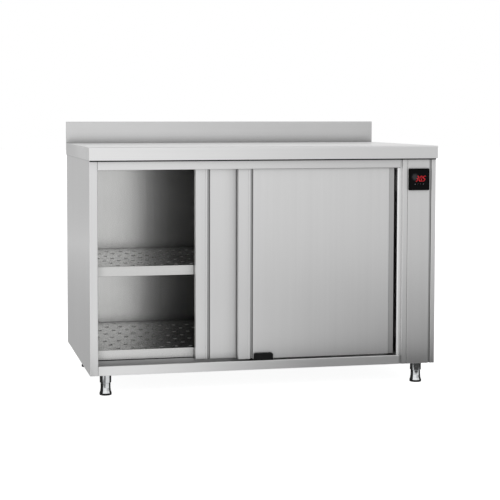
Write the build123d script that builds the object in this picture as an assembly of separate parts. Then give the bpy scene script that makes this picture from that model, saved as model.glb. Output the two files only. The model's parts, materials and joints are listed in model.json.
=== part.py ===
from build123d import *
import os
from math import cos, sin, pi, radians

# Heated stainless-steel cupboard with two sliding doors. Millimetres, +Z up.
# The origin is on the floor, under the middle of the worktop. The doors face -Y and
# the control column is at +X.

# Worktop
WIDTH = 1200.0            # worktop, left to right
DEPTH = 700.0             # worktop, front to back
WORKTOP_Z = 820.0         # working surface above the floor, feet wound in
UPSTAND_H = 80.0          # rear upstand above the working surface
UPSTAND_T = 16.0          # thickness of the folded upstand
FOLD_H = 43.0             # drop of the folded edge
FOLD_LIP = 10.5           # return under the front fold
WORKTOP_R = 3.0           # outer radius of the worktop's folds

# Sheet and body
SHEET = 1.2               # stainless sheet
INNER_BEND = 0.5          # inside radius of a fold
BODY_Z = 69.0             # underside of the body
SIDE_OVERHANG = 2.0       # worktop past the sides
FRONT_OVERHANG = 12.0     # worktop past the front
BACK_OVERHANG = 2.0       # worktop past the back
HAIRLINE = 0.3            # seam between two panels that meet
SIDES = 28                # flats on turned pieces
POST_W = 27.0             # left front post, which is the thickness of the left wall
BACK_WALL_T = 26.0        # thickness of the insulated back
REAR_FLANGE = 18.0        # side panel's return at the back

# Right column, from the outside in
RIGHT_POST_W = 16.0
SEAM_W = 7.0              # open groove beside the control panel
SEAM_D = 8.0              # its depth, and the depth of the panel's returns
SEAM_FLANGE = 10.5        # flange behind the control panel
PANEL_W = 78.6            # control panel
INNER_POST_W = 26.0       # post between doorway and control panel
JAMB_W = 8.0              # set-back strip of the inner post
JAMB_D = 4.0
POST_RETURN = 25.0        # inner post's short return

# Doorway
SILL_Z = 100.0            # top of the bottom rail and of the inner floor
RAIL_Z = 745.0            # underside of the top rail
RAIL_LIP = 6.0            # returns of the rails
SILL_LEDGE = 8.0          # flat top of the bottom rail, in front of its channel
SILL_CHANNEL = 14.0       # depth of the channel under the doors
SILL_RETURN = 10.0        # flange behind the channel
CEILING_Z = 748.0         # underside of the inner ceiling
LINER_GAP = 6.0           # rear door to inner lining

# Doors
DOOR_W = 548.0
DOOR_T = 22.0
DOOR_SETBACK = 9.0        # front door's face behind the body's front
DOOR_GAP = 8.0            # between the two doors
DOOR_FLOOR_GAP = 5.0      # under the doors
DOOR_LAP = 20.0           # door above the underside of the top rail
STILE_W = 42.0            # grip stile at the door's left edge
RIDGE_W = 8.0             # rounded ridge beside the finger groove
RIDGE_R = 3.0
FACE_SET = 1.5            # door face behind the ridge
GROOVE_W = 7.5
GROOVE_D = 11.0
STEP_W = 18.0             # set-back strip at the door's right edge
STEP_D = 5.0
STOP_T = 4.0              # rubber door stops
RIGHT_DOOR_OPEN = 14.0    # front door's distance from its closed place
LEFT_DOOR_OPEN = 330.0    # rear door's distance from its closed place

# Door track, hangers and rollers
TRACK_T = 2.0
TRACK_RISE = 10.0         # track above the doors
TRACK_FLANGE = 20.0       # top flange to each side of the web
LIP_OFFSET = 10.0         # running lip from the web's middle
LIP_H = 3.0
ROLLER_R = 14.0
ROLLER_W = 8.0
ROLLER_GROOVE = 3.0       # depth of the running groove
ROLLER_GROOVE_W = 3.4
ROLLER_PLAY = 0.3         # roller above the running lip
AXLE_D = 6.0
AXLE_PLAY = 0.2
AXLE_HEAD_D = 10.0
HANGER_T = 2.5
HANGER_W = 44.0
HANGER_FOOT = 18.0
HANGER_INSET = 70.0       # hanger's middle from the door's edge

# Bottom guide
GUIDE_FROM_DOOR = 84.9    # guide's middle from the front door's left edge
GUIDE_W = 66.0
GUIDE_H = 24.5
GUIDE_BASE = 3.0
GUIDE_R = 6.0
GUIDE_PLAY = 1.0

# Shelves and their racks
MIDDLE_SHELF_Z = 421.0
LOWER_SHELF_Z = 141.0
SHELF_LIP = 33.0
SHELF_REAR_LIP = 20.0
SHELF_RETURN = 9.0
SHELF_PLAY = 2.0          # at each end
SHELF_BACK_GAP = 4.0
SHELF_SEAT = 0.2          # over the runners
HOLE_D = 14.0
HOLE_PITCH = 50.0
ROW_PITCH = 75.0
ROW_SHIFT = 12.5
HOLE_MARGIN = 32.0
RUNNER = 20.0             # leg of the runner's angle
RUNNER_T = 1.5
RUNNER_INSET = 9.0        # runner's front end behind the shelf's front
UPRIGHT_W = 24.0
UPRIGHT_INSET = 70.0

# Base and levelling feet
PAN_FLANGE = 15.0
LEG_INSET_X = 57.0        # from the worktop's sides
LEG_INSET_F = 46.0        # from the worktop's front
LEG_INSET_B = 152.0       # from the worktop's back
LEG_D = 38.0
LEG_WALL = 1.5
LEG_H = 27.0
LEG_PLUG = 14.0
LEG_PLATE = 46.0
LEG_PLATE_T = 3.0
FOOT_D = 40.0
FOOT_RIM = 7.0            # straight rim of the foot
FOOT_FLARE = 24.0         # height at which the flare has drawn in to the neck
NECK_D = 33.0
FOOT_PLAY = 0.3
STUD_D = 12.0
STUD_RISE = 42.0
STUD_PLAY = 0.3

# Warm-air unit on the partition
FAN_Z = 420.0
DUCT_D = 59.0             # duct cover's depth
DUCT_Z0 = 180.0
DUCT_Z1 = 660.0
DUCT_INSET = 24.0         # from the lining at front and back
IMPELLER_D = 150.0
IMPELLER_W = 30.0
BLADES = 10
BLADE_T = 1.5
HUB_D = 32.0
SHAFT_D = 8.0
SHAFT_HOLE_D = 20.0
SHAFT_PLAY = 0.4
IMPELLER_OFF = 12.0       # back plate from the partition
HEATER_RING_D = 205.0
HEATER_TUBE_D = 8.0
HEATER_PLAY = 0.5
HEATER_GAP_ANGLE = 40.0
RING_STEPS = 22
MOTOR_D = 76.0
MOTOR_L = 52.0
MOTOR_STANDOFF = 12.0
BRACKET_D = 112.0
BRACKET_T = 2.5
PILLAR_D = 8.0
INTAKE_D = 130.0
SLOT_W = 6.0
SLOT_PITCH = 13.0
OUTLET_H = 60.0
OUTLET_PITCH = 78.0

# Controller
BEZEL = 74.0
BEZEL_T = 6.0
BEZEL_R = 3.0
BEZEL_FRAME = 4.0         # raised frame around the window
WINDOW_D = 0.8
CONTROLLER_Z = 705.0
HOUSING = 68.0
HOUSING_D = 58.0
HOUSING_PLAY = 0.5
KEY_W = 7.6
KEY_H = 4.6
KEY_PITCH = 10.1
KEY_DROP = 16.0           # keys under the controller's middle
KEY_OUT = 0.8
KEY_TRAVEL = 0.8
KEY_PLAY = 0.3
KEY_D = 3.0

# Inlet, terminal block, probe and cut-out
GLAND_INSET_X = 55.0      # from the worktop's right side
GLAND_INSET_Y = 45.0      # from the worktop's back
GLAND_D = 16.0
GLAND_BORE = 9.0
GLAND_HEX = 22.0
GLAND_H = 22.0
TERMINAL_W, TERMINAL_D, TERMINAL_H = 60.0, 24.0, 18.0
TERMINAL_GAP = 46.0       # in front of the gland's axis
POLE_PITCH, POLE_W = 12.0, 8.0
PROBE_Z = 705.0
PROBE_D = 6.0
PROBE_L = 42.0
CUTOUT_D = 25.0
CUTOUT_OFF = 150.0        # safety cut-out behind and above the fan
CUTOUT_EARS = 40.0
BLADE_W, BLADE_L = 6.0, 8.0
FRAME_RAIL_W, FRAME_TIE_W = 40.0, 30.0
FRAME_INSET_F, FRAME_INSET_B = 180.0, 180.0
FRAME_INSET_L, FRAME_INSET_R = 200.0, 270.0
VENT_W = 56.0
VENT_H = 6.0
VENTS = 8

# Planes that the pieces share
XL, XR = -WIDTH / 2 + SIDE_OVERHANG, WIDTH / 2 - SIDE_OVERHANG
YF, YB = -DEPTH / 2 + FRONT_OVERHANG, DEPTH / 2 - BACK_OVERHANG
ZT = WORKTOP_Z - SHEET
BEND = SHEET + INNER_BEND
X_IN_L = XL + POST_W
X_PANEL_1 = XR - RIGHT_POST_W - SEAM_W
X_PANEL_0 = X_PANEL_1 - PANEL_W
X_IN_R = X_PANEL_0 - HAIRLINE - INNER_POST_W
X_COLD = X_IN_R + INNER_POST_W
Y_D1 = YF + DOOR_SETBACK
Y_D2 = Y_D1 + DOOR_T + DOOR_GAP
Y_LIN = Y_D2 + DOOR_T + LINER_GAP
Y_BACK = YB - BACK_WALL_T
Y_REAR = YB - 2 * SHEET
Z_PAN = BODY_Z + SHEET
Z_CHANNEL = SILL_Z - SILL_CHANNEL
FAN_Y = (Y_LIN + Y_BACK) / 2
GLAND_X, GLAND_Y = WIDTH / 2 - GLAND_INSET_X, DEPTH / 2 - GLAND_INSET_Y
Z_FRAME = ZT - 25.0
DOOR_Z0, DOOR_Z1 = SILL_Z + DOOR_FLOOR_GAP, RAIL_Z + DOOR_LAP
DOOR_H = DOOR_Z1 - DOOR_Z0
X_RIGHT_DOOR = X_IN_R - STOP_T - RIGHT_DOOR_OPEN - DOOR_W
X_LEFT_DOOR = X_IN_L + STOP_T + LEFT_DOOR_OPEN
GUIDE_X = X_RIGHT_DOOR + GUIDE_FROM_DOOR
Y_WEB = Y_D1 + DOOR_T + DOOR_GAP / 2
Z_TRACK = DOOR_Z1 + TRACK_RISE
Z_LIP = Z_TRACK + TRACK_T + LIP_H
ROLL_R = ROLLER_R - ROLLER_GROOVE
Z_ROLLER = Z_LIP + ROLLER_PLAY + ROLL_R


def block(x0, x1, y0, y1, z0, z1):
    """Box between two corners."""
    return Pos((x0 + x1) / 2, (y0 + y1) / 2, (z0 + z1) / 2) * Box(x1 - x0, y1 - y0, z1 - z0)


def rod(d, start, axis, length):
    """Round bar from a point along X, Y or Z."""
    return Plane(origin=start, z_dir=axis) * extrude(Circle(d / 2), length)


def bar(d, start, axis, length, sides=SIDES):
    """Turned bar with flats, for pieces that are hidden or small."""
    return Plane(origin=start, z_dir=axis) * extrude(RegularPolygon(d / 2, sides), length)


def turned(rings, sides=SIDES):
    """Turned piece about Z from (radius, height) pairs, each pair being joined to the next."""
    solid = None
    for (r0, z0), (r1, z1) in zip(rings, rings[1:]):
        if z1 - z0 < 1e-6:
            continue
        if abs(r1 - r0) < 1e-6:
            piece = Pos(0, 0, z0) * extrude(RegularPolygon(r0, sides), z1 - z0)
        else:
            piece = loft([Pos(0, 0, z0) * RegularPolygon(r0, sides), Pos(0, 0, z1) * RegularPolygon(r1, sides)],
                         ruled=True)
        solid = piece if solid is None else solid + piece
    return solid


def folded(points, side=Side.LEFT, sheet=SHEET, bend=BEND):
    """Section of a sheet folded along points on its outer skin."""
    line = FilletPolyline(*points, radius=bend)
    return Face(line.wire().offset_2d(sheet, kind=Kind.ARC, side=side, closed=True))


def upright(face, z0, z1):
    """Section seen from above, drawn up from z0 to z1."""
    return Pos(0, 0, z0) * extrude(face, z1 - z0, dir=(0, 0, 1))


def lengthwise(face, x0, x1):
    """Section in Y and Z, drawn along X."""
    plane = Plane(origin=(x0, 0, 0), x_dir=(0, 1, 0), z_dir=(1, 0, 0))
    return plane * extrude(face, x1 - x0, dir=(0, 0, 1))


def save(name, shape):
    shape = shape.solids()[0] if len(shape.solids()) == 1 else Compound(shape.solids())
    shape.label = name
    export_step(shape, os.path.join("parts", name + ".step"))


# Worktop: one sheet with folded edges, a lip under the front and a boxed upstand
fold_z = WORKTOP_Z - FOLD_H
up_z = WORKTOP_Z + UPSTAND_H
half = DEPTH / 2


def worktop_section(i):
    """Worktop and upstand in Y and Z, moved in by i."""
    pts = [(-half + i, fold_z + i), (-half + i, WORKTOP_Z - i), (half - UPSTAND_T + i, WORKTOP_Z - i),
           (half - UPSTAND_T + i, up_z - i), (half - i, up_z - i), (half - i, fold_z + i)]
    r = WORKTOP_R - i
    return make_face(FilletPolyline(*pts, radius=[0, r, 0, r, r, 0], close=True))


worktop = lengthwise(worktop_section(0), -WIDTH / 2, WIDTH / 2)
worktop -= lengthwise(worktop_section(SHEET), -WIDTH / 2 + SHEET, WIDTH / 2 - SHEET)
worktop -= block(-WIDTH / 2 + SHEET, WIDTH / 2 - SHEET, -half + SHEET, half - SHEET,
                 fold_z - 1, fold_z + 2 * SHEET)
worktop += block(-WIDTH / 2 + SHEET, WIDTH / 2 - SHEET, -half + SHEET / 2, -half + FOLD_LIP,
                 fold_z, fold_z + SHEET)
save("worktop", worktop)

# Ladder of channels that stiffens the worktop
channel = folded([(0, Z_FRAME), (0, ZT), (FRAME_RAIL_W, ZT), (FRAME_RAIL_W, Z_FRAME)], Side.RIGHT)
rail_f, rail_b = -half + FRAME_INSET_F, half - FRAME_INSET_B - FRAME_RAIL_W
frame = lengthwise(Pos(rail_f, 0) * channel, XL + SHEET, XR - SHEET)
frame += lengthwise(Pos(rail_b, 0) * channel, XL + SHEET, XR - SHEET)
tie_l, tie_r = -WIDTH / 2 + FRAME_INSET_L, WIDTH / 2 - FRAME_INSET_R - FRAME_TIE_W
for x in (tie_l, (tie_l + tie_r) / 2, tie_r):
    frame += block(x, x + FRAME_TIE_W, rail_f + FRAME_RAIL_W - SHEET / 2, rail_b + SHEET / 2, ZT - SHEET, ZT)
    frame += block(x, x + SHEET, rail_f + FRAME_RAIL_W - SHEET / 2, rail_b + SHEET / 2, Z_FRAME, ZT)
save("worktop_frame", frame)

# Side panels: outer skin, front post and rear flange folded from one sheet
left = folded([(X_IN_L, Y_LIN), (X_IN_L, YF), (XL, YF), (XL, YB), (XL + REAR_FLANGE, YB)], Side.RIGHT)
save("left_side_panel", upright(left, BODY_Z, ZT))
right = folded([(XR - RIGHT_POST_W - SEAM_FLANGE, YF + SEAM_D), (XR - RIGHT_POST_W, YF + SEAM_D),
                (XR - RIGHT_POST_W, YF), (XR, YF), (XR, YB), (XR - REAR_FLANGE, YB)], Side.LEFT)
save("right_side_panel", upright(right, BODY_Z, ZT))

# Back panel with ventilation slots behind the control column
back = block(XL + BEND, XR - BEND, Y_REAR, Y_REAR + SHEET, BODY_Z, ZT)
vent_x = (X_COLD + XR) / 2
slots = Sketch() + [Pos(vent_x, 150 + i * 22) * Rectangle(VENT_W, VENT_H) for i in range(VENTS)]
back = back - Plane(origin=(0, Y_REAR + 2 * SHEET, 0), x_dir=(1, 0, 0), z_dir=(0, -1, 0)) * extrude(
    slots, 3 * SHEET)
save("back_panel", back)

# Inner lining
save("left_inner_wall", block(X_IN_L - SHEET, X_IN_L, Y_LIN, Y_BACK + SHEET, Z_PAN, CEILING_Z + SHEET))
save("back_inner_wall", block(X_IN_L, X_IN_R, Y_BACK, Y_BACK + SHEET, Z_PAN, CEILING_Z + SHEET))
ceiling = folded([(Y_LIN, ZT), (Y_LIN, CEILING_Z), (Y_BACK, CEILING_Z)], Side.LEFT)
save("ceiling_panel", lengthwise(ceiling, X_IN_L, X_IN_R))
floor = folded([(Y_LIN, SILL_Z - 15), (Y_LIN, SILL_Z), (Y_BACK, SILL_Z)], Side.RIGHT)
save("floor_panel", lengthwise(floor, X_IN_L, X_IN_R))

# Insulation boards
leg_x = WIDTH / 2 - LEG_INSET_X
save("left_insulation", block(XL + SHEET, X_IN_L - SHEET, YF + BEND, Y_BACK + SHEET, SILL_Z, Z_FRAME))
save("back_insulation", block(X_IN_L, X_IN_R, Y_BACK + SHEET, Y_REAR, SILL_Z, Z_FRAME))
save("ceiling_insulation", block(X_IN_L, X_IN_R, Y_LIN + BEND, Y_BACK + SHEET, CEILING_Z + SHEET, Z_FRAME))
save("floor_insulation", block(-leg_x + LEG_D, X_IN_R, Y_LIN + BEND, Y_BACK, Z_PAN, SILL_Z - SHEET))

# Base pan, notched round the posts' returns and pierced for the legs and the inlet
pan_y0, pan_y1 = YF + SEAM_D + SHEET + HAIRLINE, Y_REAR
legs = [(s * leg_x, y) for y in (-half + LEG_INSET_F, half - LEG_INSET_B) for s in (-1, 1)]
pan = block(XL + SHEET, XR - SHEET, pan_y0, pan_y1, BODY_Z, BODY_Z + PAN_FLANGE)
pan -= block(XL + 2 * SHEET, XR - 2 * SHEET, pan_y0 + SHEET, pan_y1 - SHEET, Z_PAN, BODY_Z + PAN_FLANGE + 1)
for x0, x1, y1 in ((X_IN_L - SHEET, X_IN_L, Y_LIN), (X_IN_R, X_IN_R + SHEET, Y_LIN),
                   (X_COLD - SHEET, X_COLD, YF + POST_RETURN)):
    pan -= block(x0 - HAIRLINE, x1 + HAIRLINE, pan_y0 - 1, y1 + HAIRLINE, BODY_Z - 1, BODY_Z + PAN_FLANGE + 1)
for x, y in legs:
    pan -= bar(LEG_D + 2 * HAIRLINE, (x, y, BODY_Z - 1), (0, 0, 1), SHEET + 2)
pan -= bar(GLAND_D + 1, (GLAND_X, GLAND_Y, BODY_Z - 1), (0, 0, 1), SHEET + 2)
save("base_pan", pan)

# Leg tubes: each hangs from a square plate on the pan and holds a plug for the foot's stud
leg_z0 = BODY_Z - LEG_H
plate_z = Z_PAN + LEG_PLATE_T
leg = rod(LEG_D, (0, 0, leg_z0), (0, 0, 1), plate_z - leg_z0)
leg += Pos(0, 0, Z_PAN) * extrude(Rectangle(LEG_PLATE, LEG_PLATE), LEG_PLATE_T)
leg -= rod(LEG_D - 2 * LEG_WALL, (0, 0, leg_z0 + LEG_PLUG), (0, 0, 1), LEG_H + PAN_FLANGE)
leg -= bar(STUD_D + 2 * STUD_PLAY, (0, 0, leg_z0 - 1), (0, 0, 1), LEG_H)
save("leg_tubes", Compound([(Pos(x, y, 0) * leg).solid() for x, y in legs]))

# Levelling feet: flared base, neck and stud, turned in one piece
flare_r, neck_r, stud_r = FOOT_D / 2, NECK_D / 2, STUD_D / 2
neck_z = leg_z0 - FOOT_PLAY
flare_z = FOOT_RIM + (FOOT_FLARE - FOOT_RIM) * 0.42
foot_line = [(0, 0), (flare_r - 4, 0), (flare_r - 1.2, 1.2), (flare_r, 4), (flare_r, FOOT_RIM),
             (neck_r + (flare_r - neck_r) * 0.35, flare_z), (neck_r, FOOT_FLARE), (neck_r, neck_z - 1.5),
             (neck_r - 1.5, neck_z), (0, neck_z)]
foot = revolve(Plane.XZ * make_face(Polyline(*foot_line, close=True)), Axis.Z)
foot += bar(STUD_D, (0, 0, neck_z - 1), (0, 0, 1), STUD_RISE + 1)
for (x, y), name in zip(legs, ("front_left", "front_right", "back_left", "back_right")):
    save("foot_" + name, Pos(x, y, 0) * foot)

# Rails of the doorway
sill = folded([(YF + RAIL_LIP, BODY_Z), (YF, BODY_Z), (YF, SILL_Z), (YF + SILL_LEDGE, SILL_Z),
               (YF + SILL_LEDGE, Z_CHANNEL), (Y_LIN, Z_CHANNEL), (Y_LIN, Z_CHANNEL - SILL_RETURN)], Side.RIGHT)
save("bottom_rail", lengthwise(sill, X_IN_L + HAIRLINE, X_IN_R - HAIRLINE))
head = folded([(YF + RAIL_LIP, RAIL_Z), (YF, RAIL_Z), (YF, ZT), (YF + 12, ZT)], Side.RIGHT)
save("top_rail", lengthwise(head, X_IN_L + HAIRLINE, X_IN_R - HAIRLINE))

# Inner post, with a set-back jamb strip beside the doors
post = folded([(X_IN_R, Y_LIN), (X_IN_R, YF + JAMB_D), (X_IN_R + JAMB_W, YF + JAMB_D), (X_IN_R + JAMB_W, YF),
               (X_COLD, YF), (X_COLD, YF + POST_RETURN)], Side.LEFT)
save("inner_post", upright(post, BODY_Z, ZT))

# Control panel: tray with a square opening for the controller
panel = folded([(X_PANEL_0, YF + SEAM_D), (X_PANEL_0, YF), (X_PANEL_1, YF), (X_PANEL_1, YF + SEAM_D)], Side.LEFT)
panel = upright(panel, BODY_Z, ZT)
ctrl_x = (X_PANEL_0 + X_PANEL_1) / 2
hole_half = HOUSING / 2 + HOUSING_PLAY
panel -= block(ctrl_x - hole_half, ctrl_x + hole_half, YF - 1, YF + SHEET + 1,
               CONTROLLER_Z - hole_half, CONTROLLER_Z + hole_half)
save("control_panel", panel)

# Controller: bezel with a sunk window and four key pockets, and the housing behind
front = Plane(origin=(ctrl_x, YF, CONTROLLER_Z), x_dir=(1, 0, 0), z_dir=(0, -1, 0))
bezel = front * extrude(RectangleRounded(BEZEL, BEZEL, BEZEL_R), BEZEL_T)
bezel = chamfer(bezel.faces().sort_by(Axis.Y)[0].edges(), 0.8)
window = BEZEL - 2 * BEZEL_FRAME
bezel -= front.offset(BEZEL_T - WINDOW_D) * extrude(RectangleRounded(window, window, 1.5), WINDOW_D + 1)
key_floor = BEZEL_T - WINDOW_D + KEY_OUT - KEY_D - KEY_TRAVEL - 0.2
keys = [(i - 1.5) * KEY_PITCH for i in range(4)]
for x in keys:
    bezel -= front.offset(key_floor) * Pos(x, -KEY_DROP) * extrude(
        Rectangle(KEY_W + 2 * KEY_PLAY, KEY_H + 2 * KEY_PLAY), BEZEL_T)
save("controller_bezel", bezel)
for i, x in enumerate(keys):
    key = front.offset(key_floor + KEY_TRAVEL + 0.2) * Pos(x, -KEY_DROP) * extrude(
        chamfer(Rectangle(KEY_W, KEY_H).vertices(), 0.8), KEY_D)
    save("key_%d" % (i + 1), key)
housing = front * extrude(Rectangle(HOUSING, HOUSING), -HOUSING_D)
housing = chamfer(housing.faces().sort_by(Axis.Y)[-1].edges(), 2)
for s in (-1, 1):
    y0 = YF + SHEET
    housing += block(ctrl_x - 10, ctrl_x + 10, y0, y0 + 14, CONTROLLER_Z + s * HOUSING / 2 - 3,
                     CONTROLLER_Z + s * HOUSING / 2 + 3)
save("controller_housing", housing)

# Partition between the hot compartment and the control column
shaft_hole = bar(SHAFT_HOLE_D, (X_IN_R - 1, FAN_Y, FAN_Z), (1, 0, 0), INNER_POST_W + 2)
gap = radians(HEATER_GAP_ANGLE / 2)
ring_r = HEATER_RING_D / 2
leads = [(FAN_Y + s * ring_r * sin(gap), FAN_Z - ring_r * cos(gap)) for s in (-1, 1)]
lead_d = HEATER_TUBE_D + 2 * HEATER_PLAY
y_part = Y_REAR - SHEET
hot = block(X_IN_R, X_IN_R + SHEET, Y_LIN, y_part, Z_PAN, Z_FRAME)
core = block(X_IN_R + SHEET, X_COLD - SHEET, YF + POST_RETURN, y_part, Z_PAN, Z_FRAME)
cold = block(X_COLD - SHEET, X_COLD, YF + POST_RETURN, y_part, Z_PAN, Z_FRAME)
passages = shaft_hole
for y, z in leads:
    passages += bar(lead_d, (X_IN_R - 1, y, z), (1, 0, 0), INNER_POST_W + 2, 8)
save("partition_hot_wall", hot - passages)
save("partition_insulation", core - passages)
save("partition_cold_wall", cold - passages)

# Heater: one ring of tube round the fan, its two ends led through the partition
ring_x = X_IN_R - DUCT_D / 2
turn = 2 * pi - 2 * gap
ring = [(ring_x, FAN_Y + ring_r * sin(gap + turn * i / RING_STEPS), FAN_Z - ring_r * cos(gap + turn * i / RING_STEPS))
        for i in range(RING_STEPS + 1)]
ends = [(X_COLD + 12, ring[0][1], ring[0][2]), (X_COLD + 12, ring[-1][1], ring[-1][2])]
path = Polyline(ends[0], *ring, ends[1])
heater = sweep(Plane(origin=path @ 0, z_dir=path % 0) * RegularPolygon(HEATER_TUBE_D / 2, 8), path,
               transition=Transition.RIGHT)
for y, z in leads:
    heater += bar(HEATER_TUBE_D + 8, (X_COLD, y, z), (1, 0, 0), 5, 6)
save("heater_ring", heater)

# Fan: impeller with curved blades on its shaft, motor, and the bracket on the partition
wheel = turned([(IMPELLER_D / 2, 0), (IMPELLER_D / 2, BLADE_T), (HUB_D / 2, BLADE_T), (HUB_D / 2 - 3, IMPELLER_W)])
r0, r1 = HUB_D / 2 + 6, IMPELLER_D / 2 - 1
blade_line = [(r0 + (r1 - r0) * t, -(r1 - r0) * 0.55 * t ** 2) for t in (0, 0.35, 0.65, 0.88)]
blade_back = [(x + BLADE_T * 0.4, y + BLADE_T) for x, y in reversed(blade_line)]
blade = extrude(make_face(Polyline(*blade_line, *blade_back, close=True)), IMPELLER_W, dir=(0, 0, 1))
for i in range(BLADES):
    wheel += Rot(0, 0, 360 / BLADES * i) * blade
shaft_l = IMPELLER_OFF + INNER_POST_W + MOTOR_STANDOFF + 18
wheel += bar(SHAFT_D, (0, 0, -shaft_l), (0, 0, 1), shaft_l + 2, 16)
fan_plane = Plane(origin=(X_IN_R - IMPELLER_OFF, FAN_Y, FAN_Z), x_dir=(0, 1, 0), z_dir=(-1, 0, 0))
save("fan_impeller", fan_plane * wheel)
x_motor = X_COLD + MOTOR_STANDOFF
motor = turned([(MOTOR_D / 2 - 4, 0), (MOTOR_D / 2, 4), (MOTOR_D / 2, MOTOR_L - 4), (MOTOR_D / 2 - 4, MOTOR_L),
                (15, MOTOR_L), (15, MOTOR_L + 6)])
motor = Plane(origin=(x_motor, FAN_Y, FAN_Z), x_dir=(0, 1, 0), z_dir=(1, 0, 0)) * motor
motor -= bar(SHAFT_D + 2 * SHAFT_PLAY, (x_motor - 1, FAN_Y, FAN_Z), (1, 0, 0), 22, 16)
save("fan_motor", motor)
bracket = bar(BRACKET_D, (X_COLD, FAN_Y, FAN_Z), (1, 0, 0), BRACKET_T)
for a in (90, 210, 330):
    r = MOTOR_D / 2 - 10
    bracket += bar(PILLAR_D, (X_COLD, FAN_Y + r * cos(radians(a)), FAN_Z + r * sin(radians(a))),
                   (1, 0, 0), MOTOR_STANDOFF, 8)
bracket -= bar(SHAFT_HOLE_D, (X_COLD - 1, FAN_Y, FAN_Z), (1, 0, 0), BRACKET_T + 2)
save("fan_bracket", bracket)

# Duct cover over the fan, with an intake grille and two columns of outlets
duct_x = X_IN_R - DUCT_D
duct_y0, duct_y1 = Y_LIN + DUCT_INSET, Y_BACK - DUCT_INSET
duct = block(duct_x, X_IN_R, duct_y0, duct_y1, DUCT_Z0, DUCT_Z1)
duct -= block(duct_x + SHEET, X_IN_R + 1, duct_y0 + SHEET, duct_y1 - SHEET, DUCT_Z0 + SHEET, DUCT_Z1 - SHEET)
cuts = Sketch()
n = int(INTAKE_D / 2 / SLOT_PITCH)
for i in range(-n, n + 1):
    chord = 2 * ((INTAKE_D / 2 + SLOT_W) ** 2 - (i * SLOT_PITCH) ** 2) ** 0.5 - 2 * SLOT_W
    cuts += Pos(FAN_Y, FAN_Z + i * SLOT_PITCH) * Rectangle(max(chord, 2 * SLOT_W), SLOT_W)
outlets = int((DUCT_Z1 - DUCT_Z0 - 40) / OUTLET_PITCH)
for y in (duct_y0 + 40, duct_y1 - 40):
    for i in range(outlets):
        z = (DUCT_Z0 + DUCT_Z1) / 2 + (i - (outlets - 1) / 2) * OUTLET_PITCH
        cuts += Pos(y, z) * Rectangle(2 * SLOT_W, OUTLET_H)
duct -= Plane(origin=(duct_x - 1, 0, 0), x_dir=(0, 1, 0), z_dir=(1, 0, 0)) * extrude(cuts, SHEET + 2)
save("duct_cover", duct)

# Air probe, safety cut-out, terminal block and inlet gland
probe = bar(PROBE_D, (X_IN_R - PROBE_L, FAN_Y, PROBE_Z), (1, 0, 0), PROBE_L, 12)
probe += bar(18, (X_IN_R - 4, FAN_Y, PROBE_Z), (1, 0, 0), 4, 6)
save("temperature_probe", probe)
cut_y, cut_z = FAN_Y + CUTOUT_OFF, FAN_Z + CUTOUT_OFF
cutout = bar(CUTOUT_D, (X_COLD, cut_y, cut_z), (1, 0, 0), 14)
cutout += block(X_COLD, X_COLD + 3, cut_y - CUTOUT_EARS / 2, cut_y + CUTOUT_EARS / 2, cut_z - 7, cut_z + 7)
for s in (-1, 1):
    y = cut_y + s * (CUTOUT_D / 2 - 4)
    cutout += block(X_COLD + 13, X_COLD + 14 + BLADE_L, y - 0.5, y + 0.5, cut_z - BLADE_W / 2, cut_z + BLADE_W / 2)
save("safety_thermostat", cutout)
term_y1 = GLAND_Y - TERMINAL_GAP
term_y0 = term_y1 - TERMINAL_D
terminal = block(GLAND_X - TERMINAL_W / 2, GLAND_X + TERMINAL_W / 2, term_y0, term_y1, Z_PAN, Z_PAN + TERMINAL_H)
for i in range(-2, 3):
    x0, x1 = GLAND_X + i * POLE_PITCH - POLE_W / 2, GLAND_X + i * POLE_PITCH + POLE_W / 2
    terminal -= block(x0, x1, term_y0 - 1, term_y0 + 8, Z_PAN + 7, Z_PAN + TERMINAL_H + 1)
    terminal -= block(x0, x1, term_y1 - 8, term_y1 + 1, Z_PAN + 7, Z_PAN + TERMINAL_H + 1)
save("terminal_block", terminal)
gland = Pos(GLAND_X, GLAND_Y, BODY_Z - GLAND_H / 2) * extrude(RegularPolygon(GLAND_HEX / 2, 6), GLAND_H / 2)
gland += bar(GLAND_HEX - 6, (GLAND_X, GLAND_Y, BODY_Z - GLAND_H), (0, 0, 1), GLAND_H / 2)
gland += bar(GLAND_D, (GLAND_X, GLAND_Y, BODY_Z), (0, 0, 1), 12)
gland += Pos(GLAND_X, GLAND_Y, Z_PAN) * extrude(RegularPolygon(GLAND_HEX / 2, 6), 5)
gland -= rod(GLAND_BORE, (GLAND_X, GLAND_Y, BODY_Z - GLAND_H - 1), (0, 0, 1), GLAND_H + 20)
save("cable_gland", gland)

# Shelves: perforated trays with a front lip and a rear lip
shelf_x0, shelf_x1 = X_IN_L + SHELF_PLAY, duct_x - SHELF_PLAY
shelf_y0, shelf_y1 = Y_LIN, Y_BACK - SHELF_BACK_GAP
rows = int((shelf_y1 - shelf_y0 - 2 * HOLE_MARGIN) / ROW_PITCH) + 1
centres = []
for j in range(rows):
    y = shelf_y0 + HOLE_MARGIN + j * ROW_PITCH
    x = shelf_x0 + RUNNER + HOLE_MARGIN - (j * ROW_SHIFT) % HOLE_PITCH + HOLE_PITCH / 2
    while x < shelf_x1 - RUNNER - HOLE_D:
        centres.append((x, y))
        x += HOLE_PITCH
pattern = Sketch() + [Pos(x, y) * RegularPolygon(HOLE_D / 2, 6) for x, y in centres]
tray = folded([(shelf_y0 + SHELF_RETURN, -SHELF_LIP), (shelf_y0, -SHELF_LIP), (shelf_y0, 0), (shelf_y1, 0),
               (shelf_y1, -SHELF_REAR_LIP)], Side.RIGHT)
shelf = lengthwise(tray, shelf_x0, shelf_x1) - Pos(0, 0, -2 * SHEET) * extrude(pattern, 3 * SHEET)
levels = (("middle", MIDDLE_SHELF_Z), ("lower", LOWER_SHELF_Z))
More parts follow.
